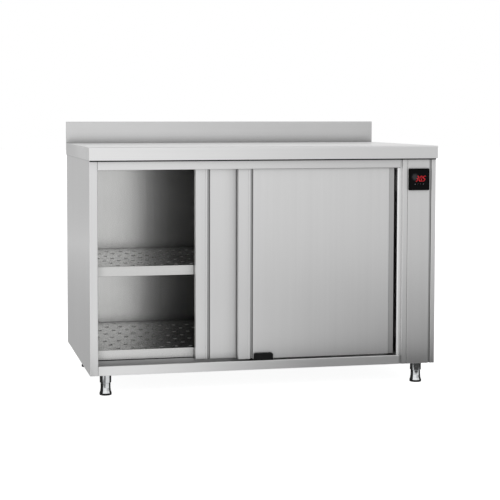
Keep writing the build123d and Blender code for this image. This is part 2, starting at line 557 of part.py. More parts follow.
for name, z in levels:
    save(name + "_shelf", Pos(0, 0, z) * shelf)

# Racks: two uprights and an angle runner for each shelf, welded together
run_y0 = shelf_y0 + RUNNER_INSET + SHELF_RETURN
run_y1 = shelf_y1 - RUNNER_INSET
for name, wall, s in (("left", X_IN_L, 1), ("right", duct_x, -1)):
    rack = None
    for _, z in levels:
        top = z - SHEET - SHELF_SEAT
        leg_a = block(min(wall, wall + s * RUNNER), max(wall, wall + s * RUNNER), run_y0, run_y1,
                      top - RUNNER_T, top)
        leg_b = block(min(wall, wall + s * RUNNER_T), max(wall, wall + s * RUNNER_T), run_y0, run_y1,
                      top - RUNNER, top)
        rack = leg_a + leg_b if rack is None else rack + leg_a + leg_b
    for y in (run_y0 + UPRIGHT_INSET, run_y1 - UPRIGHT_INSET):
        rack += block(min(wall, wall + s * RUNNER_T), max(wall, wall + s * RUNNER_T), y - UPRIGHT_W / 2,
                      y + UPRIGHT_W / 2, LOWER_SHELF_Z - SHEET - SHELF_SEAT - RUNNER, MIDDLE_SHELF_Z - SHEET - SHELF_SEAT)
    save(name + "_shelf_rack", rack)

# Door track: web with a flange under the worktop and a running lip on each side
web = make_face(Polyline(
    (-TRACK_FLANGE, ZT), (-TRACK_FLANGE, ZT - TRACK_T), (-TRACK_T / 2, ZT - TRACK_T),
    (-TRACK_T / 2, Z_TRACK + TRACK_T), (-LIP_OFFSET + TRACK_T / 2, Z_TRACK + TRACK_T),
    (-LIP_OFFSET + TRACK_T / 2, Z_LIP), (-LIP_OFFSET - TRACK_T / 2, Z_LIP),
    (-LIP_OFFSET - TRACK_T / 2, Z_TRACK), (0, Z_TRACK), (0, ZT), close=True))
web += mirror(web, Plane.YZ)
save("door_track", lengthwise(Pos(Y_WEB, 0) * web, X_IN_L + 1, X_IN_R - 1))

# Rubber stops behind the top rail, on the posts at both ends of the doorway
stop_z0, stop_z1 = RAIL_Z + 3, DOOR_Z1 - 3
stops = [block(x0, x0 + STOP_T, Y_D1 + 3, Y_LIN - LINER_GAP - 3, stop_z0, stop_z1)
         for x0 in (X_IN_L, X_IN_R - STOP_T)]
save("door_stops", Compound([stop.solid() for stop in stops]))

# Bottom guide: moulded block with a fin before, between and behind the doors
fins = ((YF + GUIDE_PLAY + 1, Y_D1 - GUIDE_PLAY, GUIDE_H), (Y_D1 + DOOR_T + GUIDE_PLAY, Y_D2 - GUIDE_PLAY, GUIDE_H),
        (Y_D2 + DOOR_T + GUIDE_PLAY, Y_LIN - 2, GUIDE_H - 6))
guide = block(GUIDE_X - GUIDE_W / 2, GUIDE_X + GUIDE_W / 2, fins[0][0], fins[2][1], SILL_Z, SILL_Z + GUIDE_BASE)
guide += block(GUIDE_X - GUIDE_W / 2 + GUIDE_R, GUIDE_X + GUIDE_W / 2 - GUIDE_R, YF + SILL_LEDGE + BEND, Y_LIN - BEND,
               Z_CHANNEL, SILL_Z)
for y0, y1, h in fins:
    fin = Pos(0, h / 2) * Rectangle(GUIDE_W, h)
    fin = fillet(fin.vertices().group_by(Axis.Y)[-1], GUIDE_R)
    guide += Plane(origin=(GUIDE_X, y1, SILL_Z), x_dir=(1, 0, 0), z_dir=(0, -1, 0)) * extrude(fin, y1 - y0)
save("bottom_guide", guide)


# Doors: folded front skin with grip stile, finger groove and set-back edge, core and rear skin
def door_section(i, y_open):
    """Front skin's outline seen from above, moved in by i and open to y_open."""
    a, b, g, w = STILE_W - RIDGE_W, STILE_W, STILE_W + GROOVE_W, DOOR_W
    pts = [(i, y_open), (i, FACE_SET + i), (a + i, FACE_SET + i), (a + i, i), (b - i, i), (b - i, GROOVE_D + i),
           (g + i, GROOVE_D + i), (g + i, FACE_SET + i), (w - STEP_W - i, FACE_SET + i),
           (w - STEP_W - i, FACE_SET + STEP_D + i), (w - i, FACE_SET + STEP_D + i), (w - i, y_open)]
    if i > 0:
        return make_face(Polyline(*pts, close=True))
    radii = [0, BEND, 0, 0.8 * FACE_SET, RIDGE_R, 0, 0, BEND, BEND, 0, BEND, 0]
    return make_face(FilletPolyline(*pts, radius=radii, close=True))


def roller():
    """Grooved roller about the local Z axis, with its middle at the origin."""
    h, g = ROLLER_W / 2, ROLLER_GROOVE_W / 2
    wheel = turned([(ROLLER_R, -h), (ROLLER_R, -g - 0.8), (ROLL_R, -g), (ROLL_R, g), (ROLLER_R, g + 0.8), (ROLLER_R, h)])
    return wheel - bar(AXLE_D + 2 * AXLE_PLAY, (0, 0, -h - 1), (0, 0, 1), ROLLER_W + 2, 16)


skin = extrude(door_section(0, DOOR_T), DOOR_H, dir=(0, 0, 1))
skin -= Pos(0, 0, SHEET) * extrude(door_section(SHEET, DOOR_T + 1), DOOR_H - 2 * SHEET, dir=(0, 0, 1))
fill = Pos(0, 0, SHEET) * extrude(door_section(SHEET, DOOR_T - SHEET), DOOR_H - 2 * SHEET, dir=(0, 0, 1))
rear = block(SHEET, DOOR_W - SHEET, DOOR_T - SHEET, DOOR_T, SHEET, DOOR_H - SHEET)
for name, x0, y0, s in (("right_door", X_RIGHT_DOOR, Y_D1, -1), ("left_door", X_LEFT_DOOR, Y_D2, 1)):
    place = Pos(x0, y0, DOOR_Z0)
    save(name + "_skin", place * skin)
    save(name + "_core", place * fill)
    save(name + "_inner_skin", place * rear)
    # The hanger bar lies on the door and its two uprights carry the roller axles
    y_mid = y0 + DOOR_T / 2
    y_lip = Y_WEB + s * LIP_OFFSET
    plate_in = y_lip + s * (ROLLER_W / 2 + 2)
    plate_out = plate_in + s * HANGER_T
    hanger = block(x0 + 20, x0 + DOOR_W - 20, y_mid - HANGER_FOOT / 2, y_mid + HANGER_FOOT / 2,
                   DOOR_Z1, DOOR_Z1 + HANGER_T)
    for k, xc in enumerate((x0 + HANGER_INSET, x0 + DOOR_W - HANGER_INSET)):
        hanger += block(xc - HANGER_W / 2, xc + HANGER_W / 2, min(plate_in, plate_out), max(plate_in, plate_out),
                        DOOR_Z1, Z_ROLLER + AXLE_HEAD_D)
        hanger += bar(AXLE_HEAD_D, (xc, plate_in, Z_ROLLER), (0, -s, 0), 2 - AXLE_PLAY, 12)
        hanger += bar(AXLE_D, (xc, plate_out, Z_ROLLER), (0, -s, 0), HANGER_T + ROLLER_W + 2.5, 16)
        hanger += bar(AXLE_HEAD_D, (xc, y_lip - s * (ROLLER_W / 2 + AXLE_PLAY), Z_ROLLER), (0, -s, 0), 1.5, 12)
        wheel_plane = Plane(origin=(xc, y_lip, Z_ROLLER), z_dir=(0, 1, 0))
        save("%s_roller_%d" % (name, k + 1), wheel_plane * roller())
    save(name + "_hanger", hanger)
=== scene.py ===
"""Heated floor cupboard in stainless steel, dressed over its CAD frame.

The frame carries the shapes. This script gives each sheet, casting and moulding its finish and adds the
display, the key marks, small trim, the rivets and screws, and the studio round it. Lengths of pieces are
in millimetres until `solid_of` turns them to metres; those of the finishes and the studio are in metres.
"""

import json
import math

import bpy
import numpy as np
from mathutils import Matrix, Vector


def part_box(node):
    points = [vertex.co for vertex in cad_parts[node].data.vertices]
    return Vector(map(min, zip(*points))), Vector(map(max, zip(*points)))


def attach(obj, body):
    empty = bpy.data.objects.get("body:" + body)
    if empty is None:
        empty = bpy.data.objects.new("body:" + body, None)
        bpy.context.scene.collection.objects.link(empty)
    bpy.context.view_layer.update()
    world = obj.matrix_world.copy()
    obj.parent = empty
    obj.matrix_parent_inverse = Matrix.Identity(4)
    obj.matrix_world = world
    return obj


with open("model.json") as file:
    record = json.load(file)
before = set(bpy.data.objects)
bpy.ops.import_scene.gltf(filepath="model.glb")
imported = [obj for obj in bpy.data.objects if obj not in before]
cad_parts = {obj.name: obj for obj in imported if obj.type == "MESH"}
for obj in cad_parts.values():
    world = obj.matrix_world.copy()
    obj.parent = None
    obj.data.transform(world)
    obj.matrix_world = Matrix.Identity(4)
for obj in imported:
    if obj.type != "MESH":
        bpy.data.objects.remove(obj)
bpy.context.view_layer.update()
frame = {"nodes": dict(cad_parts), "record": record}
nodes = frame["nodes"]
slot_of = {part["node"]: part["material_slot"] for part in frame["record"]["subparts"]}
MM = 0.001
X, Y, Z = 0, 1, 2
# Height above which the worktop's colour is darkened as painted shade
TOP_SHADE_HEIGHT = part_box("left_side_panel")[1][2] - 0.0002      # just under the worktop's sheet, in metres


# Nodes

def linear(hex_code, alpha=1.0):
    """Linear RGBA of an sRGB hex colour: c / 12.92 below 0.04045, else ((c + 0.055) / 1.055) ** 2.4."""
    c = np.array([int(hex_code[i:i + 2], 16) for i in (1, 3, 5)]) / 255.0
    c = np.where(c <= 0.04045, c / 12.92, ((c + 0.055) / 1.055) ** 2.4)
    return (*c.tolist(), alpha)


def add(tree, kind, sockets=None, **settings):
    """Adds a node. Each entry of sockets is a plain value or an output that is linked to that input."""
    made = tree.nodes.new("ShaderNode" + kind)
    for name, value in settings.items():
        setattr(made, name, value)
    for key, value in (sockets or {}).items():
        if isinstance(value, bpy.types.NodeSocket):
            tree.links.new(value, made.inputs[key])
        else:
            made.inputs[key].default_value = value
    return made


def finish(name):
    """An empty material with its tree, its output node and the place of each point in metres."""
    material = bpy.data.materials.new(name)
    material.use_nodes = True
    tree = material.node_tree
    tree.nodes.clear()
    place = add(tree, "TexCoord").outputs["Object"]
    return material, tree, add(tree, "OutputMaterial"), place


def ramp(tree, value, stops):
    """Colour along a value: stops are (place, hex colour)."""
    made = add(tree, "ValToRGB", {"Fac": value})
    band = made.color_ramp
    while len(band.elements) < len(stops):
        band.elements.new(0.5)
    for element, (place, colour) in zip(band.elements, stops):
        element.position, element.color = place, linear(colour)
    return made.outputs["Color"]


def between(tree, value, low, high):
    """A 0 to 1 value stretched to run from low to high."""
    return add(tree, "MapRange", {"Value": value, "To Min": low, "To Max": high}).outputs["Result"]


def noise(tree, place, scale, detail, roughness=0.5):
    """A value that drifts round 0.5. Its scale, in lumps to the metre, is one number or one for each axis."""
    if isinstance(scale, (list, tuple)):
        place, scale = add(tree, "Mapping", {"Vector": place, "Scale": scale}).outputs[0], 1.0
    return add(tree, "TexNoise", {"Vector": place, "Scale": scale, "Detail": detail,
                                  "Roughness": roughness}).outputs["Fac"]


def blend(tree, share, first, second):
    """Two values mixed, with this share of the second."""
    return add(tree, "Mix", {"Factor": share, "A": first, "B": second}).outputs["Result"]


def maths(tree, operation, *values):
    """One sum on plain values or outputs."""
    return add(tree, "Math", dict(enumerate(values)), operation=operation).outputs[0]


def rounded(tree, radius):
    """Normal that runs round every edge as if it had this radius."""
    return add(tree, "Bevel", {"Radius": radius}, samples=4).outputs["Normal"]


def bumped(tree, height, strength, depth, normal=None):
    """Normal of a relief that follows a value and is `depth` metres high."""
    sockets = {"Strength": strength, "Distance": depth, "Height": height}
    if normal is not None:
        sockets["Normal"] = normal
    return add(tree, "Bump", sockets).outputs["Normal"]


def coat(tree, out, sockets):
    """Sends a Principled surface with these sockets to the material's output."""
    tree.links.new(add(tree, "BsdfPrincipled", sockets).outputs[0], out.inputs["Surface"])


# Metals

def brushed_stainless(name, grain, light, dark, rough, stretch, seam=0.36, shaded_from=None):
    """AISI 304 sheet with a ground No. 4 finish. The eye gets long soft streaks along the grain and a
    reflection that is drawn out across it. Real scratches are about 0.05 mm apart; here they are drawn
    1.5 mm apart, and wider bands 14 mm apart, so that they show. In seams, folds and corners the colour is
    darkened to a share `seam` as painted shade.
    Above a given height the colour is darker as painted shade, for the worktop's top and upstand."""
    material, tree, out, place = finish(name)
    scratch, scratch_run = 0.0015, 0.25
    band, band_run = 0.014, 1.1
    smear_and_sheen = 0.11            # wiped and handled patches, a hand's breadth across
    fine, wide = [1 / scratch] * 3, [1 / band] * 3
    fine[grain], wide[grain] = 1 / scratch_run, 1 / band_run
    scratches = noise(tree, place, fine, 3.0, 0.6)
    bands = noise(tree, place, wide, 4.0, 0.55)
    smears = noise(tree, place, 1 / smear_and_sheen, 3.0)
    mixed = blend(tree, 0.3, bands, scratches)
    # Painted shade: the colour darkens in seams, folds and corners, as far as ambient occlusion finds other
    # surfaces close by
    reach = add(tree, "AmbientOcclusion", {"Distance": 0.045}, samples=8).outputs["AO"]
    shade = add(tree, "MapRange", {"Value": reach, "From Min": 0.40, "From Max": 0.94,
                                   "To Min": seam}).outputs[0]
    # Painted shade: above this height the colour is darker, so the worktop's top and upstand come out darker
    # than its front
    if shaded_from is not None:
        shade_edge, top_shade_share = 0.0012, 0.83
        height = add(tree, "SeparateXYZ", {"Vector": place}).outputs["Z"]
        top_shade_factor = add(tree, "MapRange", {"Value": height, "From Min": shaded_from,
                                            "From Max": shaded_from + shade_edge,
                                            "To Min": 1.0, "To Max": top_shade_share}).outputs[0]
        shade = maths(tree, "MULTIPLY", shade, top_shade_factor)
    colour = add(tree, "VectorMath", {0: ramp(tree, mixed, [(0.36, dark), (0.64, light)]), "Scale": shade},
                 operation="SCALE").outputs[0]
    worn = maths(tree, "MULTIPLY", mixed, smears)
    gloss = add(tree, "MapRange", {"Value": worn, "From Min": 0.12, "From Max": 0.40,
                                   "To Min": rough - 0.015, "To Max": rough + 0.02}).outputs["Result"]
    relief = bumped(tree, scratches, 0.025, 0.00002, rounded(tree, 0.0007))
    across = add(tree, "Tangent", direction_type="RADIAL", axis="X" if grain == X else "Z").outputs["Tangent"]
    coat(tree, out, {"Base Color": colour, "Metallic": 1.0, "Roughness": gloss, "Anisotropic": stretch,
                     "Normal": relief, "Tangent": across})
    return material


def galvanised(name):
    """Hot-dip galvanised sheet: zinc crystals 6 to 12 mm across, each a little lighter or duller."""
    material, tree, out, place = finish(name)
    crystal, patch = 0.009, 0.04
    spangle = add(tree, "TexVoronoi", {"Vector": place, "Scale": 1 / crystal, "Randomness": 1.0})
    grey = add(tree, "RGBToBW", {"Color": spangle.outputs["Color"]}).outputs[0]
    tone = blend(tree, 0.35, grey, noise(tree, place, 1 / patch, 4.0))
    coat(tree, out, {"Base Color": ramp(tree, tone, [(0.2, "#9aa0a2"), (0.8, "#c3c8c9")]), "Metallic": 1.0,
                     "Roughness": between(tree, tone, 0.36, 0.52)})
    return material


def turned_metal(name, light, dark, rough, groove):
    """Turned and polished bar: faint rings from the tool round an upright axis, each of a groove and a
    ridge as wide. Like chromium it gives back less near grazing angles, so that its outline is darker."""
    material, tree, out, place = finish(name)
    wave = 6.283            # the texture's rings are 0.314 / scale apart, so here two grooves' widths
    rings = add(tree, "TexWave", {"Vector": place, "Scale": 1 / groove / wave, "Distortion": 0.4,
                                  "Detail": 1.0}, bands_direction="Z", wave_profile="SIN").outputs["Fac"]
    marks = noise(tree, place, 1 / 0.012, 5.0)
    coat(tree, out, {"Base Color": ramp(tree, marks, [(0.35, dark), (0.65, light)]), "Metallic": 1.0,
                     "Roughness": between(tree, marks, rough - 0.03, rough + 0.06),
                     "Specular Tint": linear("#7c7c7c"), "Normal": bumped(tree, rings, 0.12, 0.00003)})
    return material


def cast_metal(name, light, dark, rough, grain, metallic):
    """Pressed, cast or sprayed surface: a pebbled skin with a slow drift of tone."""
    material, tree, out, place = finish(name)
    skin = noise(tree, place, 1 / grain, 4.0, 0.6)
    tone = blend(tree, 0.6, skin, noise(tree, place, 1 / (grain * 30), 3.0))
    coat(tree, out, {"Base Color": ramp(tree, tone, [(0.38, dark), (0.62, light)]), "Metallic": metallic,
                     "Roughness": between(tree, tone, rough - 0.06, rough + 0.08),
                     "Normal": bumped(tree, skin, 0.35, grain * 0.12)})
    return material


# Plastics, rubber, wool

def moulded(name, light, dark, rough, grain, depth, shine=0.5):
    """Injection-moulded plastic or rubber with a spark-eroded texture, dust lying in its hollows."""
    material, tree, out, place = finish(name)
    texture = noise(tree, place, 1 / grain, 3.0, 0.65)
    tone = blend(tree, 0.5, texture, noise(tree, place, 1 / 0.02, 6.0))
    relief = bumped(tree, texture, 0.4, depth, rounded(tree, 0.0005))
    coat(tree, out, {"Base Color": ramp(tree, tone, [(0.4, dark), (0.62, light)]),
                     "Roughness": between(tree, tone, rough - 0.05, rough + 0.08), "IOR": 1.5,
                     "Specular IOR Level": shine, "Normal": relief})
    return material


def mineral_wool(name):
    """Pressed mineral wool board: crossing fibres 2 mm apart over soft tufts of straw and brown."""
    material, tree, out, place = finish(name)
    one_way, other_way = (noise(tree, place, scale, 2.0) for scale in ((60, 900, 500), (900, 60, 500)))
    crossed = maths(tree, "MAXIMUM", one_way, other_way)
    tone = blend(tree, 0.5, crossed, noise(tree, place, 1 / 0.03, 4.0))
    coat(tree, out, {"Base Color": ramp(tree, tone, [(0.35, "#8f7f55"), (0.65, "#cdbf8e")]),
                     "Roughness": 0.95, "Normal": bumped(tree, crossed, 0.8, 0.0008)})
    return material


def display_window(name, smear_and_sheen):
    """Smoked acrylic in front of the display: black and glossy, with wiping marks in its shine and a
    painted reflection that lightens it to grey round one point, in metres."""
    material, tree, out, place = finish(name)
    wipes = noise(tree, place, (300, 300, 90), 4.0)
    # Painted reflection: the colour runs from black to grey towards the given point, with a ragged border
    away = add(tree, "VectorMath", {0: place, 1: smear_and_sheen}, operation="DISTANCE").outputs["Value"]
    ragged = maths(tree, "MULTIPLY_ADD", wipes, 0.014, away)
    sheen_patch = add(tree, "MapRange", {"Value": ragged, "From Min": 0.013, "From Max": 0.021, "To Min": 1.0,
                                  "To Max": 0.0}).outputs[0]
    coat(tree, out, {"Base Color": ramp(tree, sheen_patch, [(0.0, "#060607"), (1.0, "#3e3e40")]),
                     "Roughness": between(tree, wipes, 0.08, 0.16), "IOR": 1.49, "Specular IOR Level": 0.1})
    return material


def lit_segment(name):
    """Red LED segment under its diffuser: bright red, a little uneven along its length."""
    material, tree, out, place = finish(name)
    red = ramp(tree, noise(tree, place, 1 / 0.003, 2.0), [(0.3, "#c2121c"), (0.7, "#e02a33")])
    coat(tree, out, {"Base Color": red, "Roughness": 0.5, "Emission Color": red, "Emission Strength": 1.1})
    return material


def printed_mark(name):
    """Pad-printed grey ink on the keys, uneven, so that some black shows through."""
    material, tree, out, place = finish(name)
    ink = noise(tree, place, 1 / 0.0009, 2.0)
    coat(tree, out, {"Base Color": ramp(tree, ink, [(0.3, "#8c8d90"), (0.7, "#b4b5b8")]),
                     "Roughness": between(tree, ink, 0.5, 0.65)})
    return material


# Grain along X on the rails and the top, upright on the panels and the doors
steel_along = brushed_stainless("stainless_no4_grain_along", X, "#eeeeee", "#ebebeb", 0.30, 0.55)
steel_top = brushed_stainless("stainless_no4_worktop", X, "#f2f2f2", "#efefef", 0.30, 0.55, 0.36, TOP_SHADE_HEIGHT)
steel_upright = brushed_stainless("stainless_no4_grain_upright", Z, "#ededed", "#eaeaea", 0.31, 0.55)
steel_door = brushed_stainless("stainless_no4_doors", Z, "#ededed", "#eaeaea", 0.31, 0.55, 0.58)
# Trim in greyer and near-white copies of the steel: the greyer ones are painted shade in channels and
# grooves, the near-white one a painted highlight
edge_channel = brushed_stainless("stainless_door_edge_channel", Z, "#cdcdcd", "#c6c6c6", 0.34, 0.40, 0.7)
channel_painted_shade = brushed_stainless("stainless_channel_painted_shade", X, "#a2a2a2", "#989898", 0.34, 0.40, 0.8)
highlight_steel = brushed_stainless("stainless_painted_highlight_edge", Z, "#fdfdfd", "#f8f8f8", 0.50, 0.0, 0.96)
# Smoother mill-finished sheet inside
lining = brushed_stainless("stainless_2b_lining", X, "#e0e0df", "#dcdcdb", 0.25, 0.30, 0.6)
lining_upright = brushed_stainless("stainless_2b_lining_upright", Z, "#dededd", "#dadad9", 0.25, 0.30, 0.5)
finishes = {
    "stainless_lining": lining,
    "galvanised_steel": galvanised("galvanised_sheet"),
    "insulation": mineral_wool("mineral_wool_board"),
    "polished_steel": turned_metal("chromed_turned_steel", "#e8eaeb", "#dadcde", 0.08, 0.0012),
    "heater_steel": cast_metal("annealed_heater_sheath", "#7c7268", "#544d47", 0.42, 0.0012, 1.0),
    "aluminium": cast_metal("pressed_aluminium", "#c9cbcc", "#b3b6b8", 0.38, 0.0015, 1.0),
    "motor_enamel": cast_metal("sprayed_motor_enamel", "#3c4146", "#2b2f33", 0.45, 0.0010, 0.0),
    "controller_black": moulded("glossy_black_abs", "#060606", "#020202", 0.22, 0.0011, 0.00001, 0.05),
    "black_plastic": moulded("black_polyamide", "#121213", "#080809", 0.42, 0.0012, 0.00005, 0.20),
    "white_plastic": moulded("white_polyamide", "#e6e4dc", "#d2cfc5", 0.45, 0.0010, 0.00003),
    "stop_rubber": moulded("moulded_rubber", "#1c1c1b", "#101010", 0.75, 0.0013, 0.00008, 0.30),
}
grained_along = {"top_rail", "bottom_rail"}
lined_upright = {"left_inner_wall", "right_door_inner_skin", "left_door_inner_skin", "partition_hot_wall",
                 "duct_cover", "back_inner_wall"}
for name, cad in nodes.items():
    made_of = slot_of[name]
    if name == "worktop":
        cad.material_slots[0].material = steel_top
    elif name == "leg_tubes":
        cad.material_slots[0].material = finishes["polished_steel"]
    elif name in ("right_door_skin", "left_door_skin"):
        cad.material_slots[0].material = steel_door
    elif made_of == "stainless":
        cad.material_slots[0].material = steel_along if name in grained_along else steel_upright
    elif name in lined_upright:
        cad.material_slots[0].material = lining_upright
    else:
        cad.material_slots[0].material = finishes[made_of]


# Forms

def in_mm(corners):
    """Lowest and highest corner of a box, from metres to millimetres."""
    return [np.array(corner) / MM for corner in corners]


def solid_of(name, points, faces, material, body, made_of, smooth=None):
    """Mesh object from points in millimetres and a list of face index rows."""
    mesh = bpy.data.meshes.new(name)
    mesh.from_pydata((np.asarray(points, float) * MM).tolist(), [], [list(map(int, f)) for f in faces])
    mesh.update()
    if smooth is not None:
        mesh.polygons.foreach_set("use_smooth", np.ones(len(mesh.polygons), bool))
        mesh.set_sharp_from_angle(angle=math.radians(smooth))
    mesh.materials.append(material)
    piece = bpy.data.objects.new(name, mesh)
    bpy.context.scene.collection.objects.link(piece)
    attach(piece, body)


def lathe(profile, count):
    """Turned form about Z: point (i, j) = (r_i cos t_j, r_i sin t_j, z_i). The profile runs upwards and
    its ends lie on the axis."""
    r, z = np.array(profile, float).T
    t = np.arange(count) * 2 * np.pi / count
    rim_r, rim_z = r[1:-1, None], z[1:-1, None]
    rims = np.stack([rim_r * np.cos(t), rim_r * np.sin(t), np.repeat(rim_z, count, 1)], -1)
    points = np.vstack([[[0, 0, z[0]]], rims.reshape(-1, 3), [[0, 0, z[-1]]]])
    j = np.arange(count)
    after = (j + 1) % count
    faces = [tuple(f) for f in np.stack([0 * j, 1 + after, 1 + j], 1)]
    for i in range(len(rim_r) - 1):
        a, b = 1 + i * count, 1 + (i + 1) * count
        faces += [tuple(f) for f in np.stack([a + j, a + after, b + after, b + j], 1)]
    last, a = len(points) - 1, 1 + (len(rim_r) - 1) * count
    faces += [tuple(f) for f in np.stack([a + j, a + after, 0 * j + last], 1)]
    return points, faces


def repeated(points, faces, places, turn=np.eye(3)):
    """The same form at many places: point k of copy n = turn . p_k + place_n."""
    places = np.asarray(places, float)
    turned = np.asarray(points) @ np.asarray(turn, float).T
    every = (places[:, None, :] + turned[None]).reshape(-1, 3)
    return every, [tuple(v + n * len(points) for v in f) for n in range(len(places)) for f in faces]


def joined(parts):
    """Several forms as one: each one's face indices are moved past the points before it."""
    points, faces, start = [], [], 0
    for p, f in parts:
        points.append(p)
        faces += [tuple(v + start for v in face) for face in f]
        start += len(p)
    return np.vstack(points), faces


def strip(section, at, axis, start, stop):
    """A section, measured from the point `at` in the plane across the axis, carried straight along it from
    start to stop. It is counter-clockwise as seen from the far end of X or Z, or from the near end of Y."""
    section = np.add(section, at)
    n = len(section)
    points = np.vstack([np.insert(section, axis, end, axis=1) for end in (start, stop)])
    k = np.arange(n)
    after = (k + 1) % n
    faces = [tuple(k[::-1]), tuple(k + n)] + [tuple(f) for f in np.stack([k, after, after + n, k + n], 1)]
    return points, [f[::-1] for f in faces] if axis == Y else faces


def rectangle(a0, b0, a1, b1):
    """Corners of a rectangle, counter-clockwise from its lowest."""
    return [(a0, b0), (a1, b0), (a1, b1), (a0, b1)]


# Display: smoked window and slanted seven-segment figures
bezel_low, bezel_high = in_mm(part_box("controller_bezel"))
centre_x, centre_z = (bezel_low[0] + bezel_high[0]) / 2, (bezel_low[2] + bezel_high[2]) / 2
window_y = bezel_low[1] + 0.8


def crowned_window(width, crown, depth, count=25):
    """Square pane with a domed front, y = y0 - crown (1 - u^2)(1 - v^2) with u and v from -1 to 1, and a
    flat back at y0 + depth. Its border is walled."""
    u, v = np.meshgrid(np.linspace(-1, 1, count), np.linspace(-1, 1, count))
    x, z = centre_x + u * width / 2, centre_z + v * width / 2
    front = np.stack([x, window_y - 0.02 - crown * (1 - u ** 2) * (1 - v ** 2), z], -1).reshape(-1, 3)
    back = np.stack([x, np.full_like(x, window_y + depth), z], -1).reshape(-1, 3)
    n, k = count * count, np.arange(count - 1)
    a = (k[:, None] * count + k[None]).ravel()
    quads = np.stack([a, a + 1, a + count + 1, a + count], 1)
    ring = np.concatenate([k, k * count + count - 1, n - 1 - k, (count - 1 - k) * count])
    after = np.roll(ring, -1)
    walls = np.stack([after, ring, ring + n, after + n], 1)
    return np.vstack([front, back]), [tuple(f) for f in np.vstack([quads, quads[:, ::-1] + n, walls])]


BEZEL_BORDER = 4.2
window_size = bezel_high[0] - bezel_low[0] - 2 * BEZEL_BORDER
# Centre of the painted reflection on the window, left of and above the display's middle
smear_and_sheen = ((centre_x - 15) * MM, window_y * MM, (centre_z + 8) * MM)
solid_of("display_window", *crowned_window(window_size, crown=0.25, depth=0.2),
         display_window("smoked_acrylic", smear_and_sheen), "cabinet", "controller_black", smooth=60)

SEGMENTS = {"0": "abcdef", "3": "abgcd", "5": "afgcd"}
FIGURE_W, FIGURE_H, FIGURE_PITCH, STROKE = 7.2, 16.8, 12.4, 1.2
SLANT = math.tan(math.radians(18))
MITRE_GAP = 0.9             # from the end of a bar to the figure's corner
FIGURE_FRONT, FIGURE_BACK = window_y - 0.62, window_y - 0.30


def segment(kind, x, z):
    """One bar of a figure as a long hexagon, sheared by x += z tan(slant) with the whole figure."""
    w, h, s, gap = FIGURE_W, FIGURE_H / 2, STROKE / 2, MITRE_GAP
    along_x = {"a": 2 * h, "g": h, "d": 0.0}
    along_z = {"f": (0.0, h), "b": (w, h), "e": (0.0, 0.0), "c": (w, 0.0)}
    if kind in along_x:
        zz = along_x[kind]
        outline = [(gap, zz), (gap + s, zz - s), (w - gap - s, zz - s), (w - gap, zz),
                   (w - gap - s, zz + s), (gap + s, zz + s)]
    else:
        xx, zz = along_z[kind]
        outline = [(xx, zz + gap), (xx + s, zz + gap + s), (xx + s, zz + h - gap - s), (xx, zz + h - gap),
                   (xx - s, zz + h - gap - s), (xx - s, zz + gap + s)]
    outline = np.array(outline)
    outline[:, 0] += outline[:, 1] * SLANT
    return strip(outline, (x, z), Y, FIGURE_FRONT, FIGURE_BACK)


first_x, figure_z = centre_x - 13.6, centre_z - 5.8
bars = []
for i, figure in enumerate("305"):
    bars += [segment(kind, first_x + i * FIGURE_PITCH, figure_z) for kind in SEGMENTS[figure]]
turn = np.linspace(0, 2 * np.pi, 12, endpoint=False)
point_at = (centre_x + 9.2, centre_z - 6.4)     # the decimal point, 2 mm across
bars.append(strip(np.column_stack([np.cos(turn), np.sin(turn)]), point_at, Y, FIGURE_FRONT, FIGURE_BACK))
solid_of("display_figures", *joined(bars), lit_segment("red_led_segment"), "cabinet", "controller_black")


# Marks on the keys, round each key's middle: on and off, down, up, and set

def ring_mark(r0, r1, start, stop, count=20):
    """Part of a flat ring between radii r0 and r1, from one angle to another."""
    t = np.radians(np.linspace(start, stop, count))
    outer = np.column_stack([r1 * np.cos(t), r1 * np.sin(t)])
    inner = np.column_stack([r0 * np.cos(t[::-1]), r0 * np.sin(t[::-1])])
    return np.vstack([outer, inner])


KEY_MARKS = (
    [ring_mark(1.15, 1.6, 115, 425), rectangle(-0.22, 0.0, 0.22, 1.8)],
    [[(-1.5, 0.8), (0.0, -1.1), (1.5, 0.8), (0.0, -0.2)]],
    [[(-1.5, -0.8), (0.0, 0.2), (1.5, -0.8), (0.0, 1.1)]],
    [ring_mark(0.9, 1.4, 0, 350), rectangle(-1.9, -0.2, 1.9, 0.2)],
)
ink = printed_mark("grey_pad_print")
for i, marks in enumerate(KEY_MARKS):
    low, high = in_mm(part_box("key_%d" % (i + 1)))
    middle, face_y = ((low[0] + high[0]) / 2, (low[2] + high[2]) / 2), low[1]
    solid_of("key_mark_%d" % (i + 1),
             *joined([strip(mark, middle, Y, face_y - 0.05, face_y + 0.02) for mark in marks]),
             ink, "key_%d" % (i + 1), "white_plastic")

# Trim, each strip's section measured from a corner of its neighbour
FIT = 0.4                   # room left between a strip and the sheet that it ends at
post_low, post_high = in_mm(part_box("inner_post"))
post_x, front_y = post_low[0], post_low[1]
sill_z, head_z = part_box("bottom_rail")[1][2] / MM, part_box("top_rail")[0][2] / MM
# Bright strip set at a slant before the gap between the right-hand door and the inner post, in a near-white
# copy of the steel as a painted highlight
slanted = [(-8.2, 8.0), (-3.4, 5.1), (0.6, 5.1), (0.6, 6.2), (-3.2, 6.3), (-7.8, 9.1)]
solid_of("jamb_strip", *strip(slanted, (post_x, front_y), Z, sill_z + FIT, head_z - FIT), highlight_steel,
         "cabinet", "stainless")
# Dark strip behind the doors' way, so that the gap beside the right-hand door is black: painted shadow in the
# gap
lipped = [(-21.0, 10.4), (-15.0, 8.6), (-0.1, 8.6), (-0.1, 12.4), (-15.0, 12.4)]
solid_of("jamb_shadow_strip", *strip(lipped, (post_x, post_high[1]), Z, sill_z + 12, head_z - 1),
         finishes["stop_rubber"], "cabinet", "stop_rubber")
